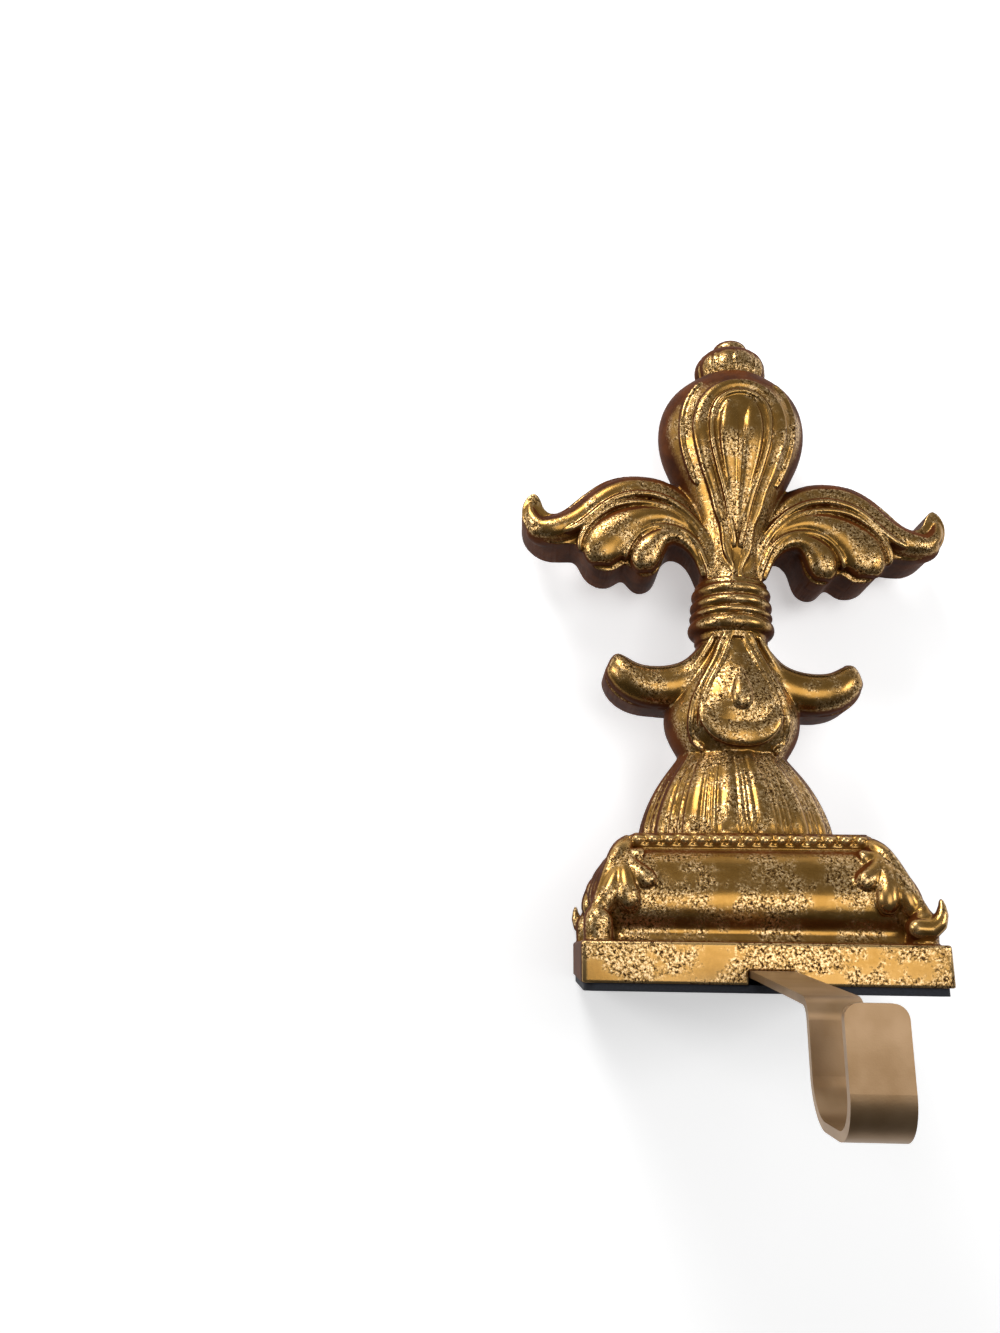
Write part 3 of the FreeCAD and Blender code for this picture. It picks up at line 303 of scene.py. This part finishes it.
leaf = clouded(tree, patches, "906A32", "AE884E", 0.35, 0.65)
for share, tone in ((painted_glints, "DDBE90"), (painted_hollow_shade, "865A22"), (painted_ridge_highlight, "D8B47C"), (painted_groove_shade, "5A3A10"),
                    (rubbed_pits_and_shade, "2E1804")):
    leaf = blend_colour(tree, share, leaf, linear(tone))
bole = clouded(tree, patches, "381804", "60300A")
tree.links.new(blend_colour(tree, gold, bole, leaf), shader.inputs["Base Color"])
# less metal in the dark pits and in the painted hollow shade
dull = maths(tree, "ADD", maths(tree, "MULTIPLY", rubbed_pits_and_shade, 0.5), maths(tree, "MULTIPLY", painted_hollow_shade, 0.5))
metal = maths(tree, "MULTIPLY", gold, maths(tree, "SUBTRACT", 1.0, dull))
tree.links.new(metal, shader.inputs["Metallic"])
tree.links.new(ramp(tree, gold, 0.0, 1.0, 0.6, 0.27), shader.inputs["Roughness"])
shader.inputs["Specular IOR Level"].default_value = 0.06
crinkles = maths(tree, "ADD", maths(tree, "MULTIPLY", pits, 0.7), maths(tree, "MULTIPLY", grains, 0.3))
strength = maths(tree, "ADD", 0.06, maths(tree, "MULTIPLY", crinkled, 0.34))
roughen(tree, shader, crinkles, LEAF_DEPTH, strength)

# %% [markdown]
# ## Painted strap, zinc screws and foam pad
# The hook is a cold-bent steel strap with a satin champagne paint that is a little clouded. The screws are
# zinc plated. The pad is matt black foam rubber.

# %% Strap paint
paint, tree, shader = new_material("satin_champagne_paint_on_steel")
place = add(tree, "ShaderNodeTexCoord").outputs["Object"]
surface(tree, shader, clouded(tree, speckle(tree, place, 14.0, 3.0, 0.5), "846848", "9E8263"), 0.85, 0.42)
roughen(tree, shader, speckle(tree, place, 0.5, 3.0, 0.6), 0.05, 0.4)

# %% Zinc
zinc, tree, shader = new_material("zinc_plated_steel")
place = add(tree, "ShaderNodeTexCoord").outputs["Object"]
surface(tree, shader, clouded(tree, speckle(tree, place, 1.5), "8C8F92", "B4B7BA"), 1.0, 0.35)

# %% Foam rubber
foam, tree, shader = new_material("black_foam_rubber")
place = add(tree, "ShaderNodeTexCoord").outputs["Object"]
cells = speckle(tree, place, 0.6, 4.0, 0.7)
surface(tree, shader, clouded(tree, cells, "0E1016", "1C1F28"), 0.0, 0.85)
roughen(tree, shader, cells, 0.15, 0.8)

# %% [markdown]
# ## The casting as one soft skin
# Resin is poured into a rubber mould, so nothing on the real casting meets at a knife edge: each ridge
# runs into its neighbour over a small radius. Balls in rows give two feet the upturned curls that the
# picture shows, and give each bead a fuller front. A voxel remesh joins them and the CAD casting into one
# even skin, two passes of smoothing round the creases, and a decimation keeps the faces where the relief
# is.

# %% Casting skin
VOXEL = 0.42
SMOOTH_FACTOR, SMOOTH_PASSES = 0.5, 2
KEPT_FACES = 0.17
PLINTH_HALF_DEPTH = 47.0
CURL = [(44.0, 3.4, 18.4, 3.2), (47.6, 3.0, 18.2, 3.0), (50.0, 2.8, 19.8, 2.5), (51.2, 2.8, 22.2, 1.9),
        (51.6, 3.0, 24.6, 1.2), (51.5, 3.2, 26.6, 0.6)]  # across, inset from the front, height, radius
CURL_STEPS = 6
BEADS_HALF_WIDTH, BEADS_HALF_DEPTH = 37.3, 29.8
BEADS_ALONG_WIDTH, BEADS_ALONG_DEPTH = 15, 12
BEAD_MARGIN = 2.9
BEAD_LEVEL = 44.6
BEAD_RADIUS = 1.75


def ball(work, place, radius):
    """Adds a ball to a bmesh."""
    bmesh.ops.create_icosphere(work, subdivisions=2, radius=radius * MM,
                               matrix=Matrix.Translation(Vector(place) * MM))


def add_beads(work):
    """Adds a ball at each bead along the four sides of the ledge."""
    for half, row, count, turned in ((BEADS_HALF_WIDTH, BEADS_HALF_DEPTH, BEADS_ALONG_WIDTH, False),
                                     (BEADS_HALF_DEPTH, BEADS_HALF_WIDTH, BEADS_ALONG_DEPTH, True)):
        first = half - BEAD_MARGIN
        for side in (-row, row):
            for index in range(count):
                along = first * (2 * index / (count - 1) - 1)
                ball(work, (side, along, BEAD_LEVEL) if turned else (along, side, BEAD_LEVEL), BEAD_RADIUS)


def add_curls(work):
    """Adds the upturned curls of the front right foot and the rear left foot, as balls in tapering rows."""
    for side in (1, -1):
        for one, two in zip(CURL, CURL[1:]):
            for step in range(CURL_STEPS):
                x, inset, z, radius = [a + (b - a) * step / CURL_STEPS for a, b in zip(one, two)]
                ball(work, (side * x, -side * (PLINTH_HALF_DEPTH - inset), z), radius)


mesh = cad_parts["casting"].data.copy()
mesh.materials.clear()
casting = bpy.data.objects.new("casting_skin", mesh)
bpy.context.scene.collection.objects.link(casting)
balls = bmesh.new()
add_beads(balls)
add_curls(balls)
ball_mesh = bpy.data.meshes.new("balls")
balls.to_mesh(ball_mesh)
balls.free()
joined = bmesh.new()
joined.from_mesh(mesh)
bmesh.ops.remove_doubles(joined, verts=joined.verts, dist=1e-6)
joined.from_mesh(ball_mesh)
joined.to_mesh(mesh)
joined.free()
skin = casting.modifiers.new("skin", "REMESH")
skin.mode = "VOXEL"
skin.voxel_size = VOXEL * MM
smooth = casting.modifiers.new("soften", "SMOOTH")
smooth.factor = SMOOTH_FACTOR
smooth.iterations = SMOOTH_PASSES
fewer = casting.modifiers.new("fewer_faces", "DECIMATE")
fewer.ratio = KEPT_FACES
fewer.use_collapse_triangulate = True
bpy.context.view_layer.update()
graph = bpy.context.evaluated_depsgraph_get()
baked = bpy.data.meshes.new_from_object(casting.evaluated_get(graph))
casting.modifiers.clear()
casting.data = baked
for polygon in baked.polygons:
    polygon.use_smooth = True
print("casting skin: %d faces" % len(baked.polygons))
baked.materials.append(gilt)
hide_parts("casting")
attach(casting, "root")

# %% Materials of the other nodes
for name, material in (("strap_hook", paint), ("screw_1", zinc), ("screw_2", zinc), ("seat_pad", foam)):
    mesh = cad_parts[name].data
    mesh.materials.clear()
    mesh.materials.append(material)
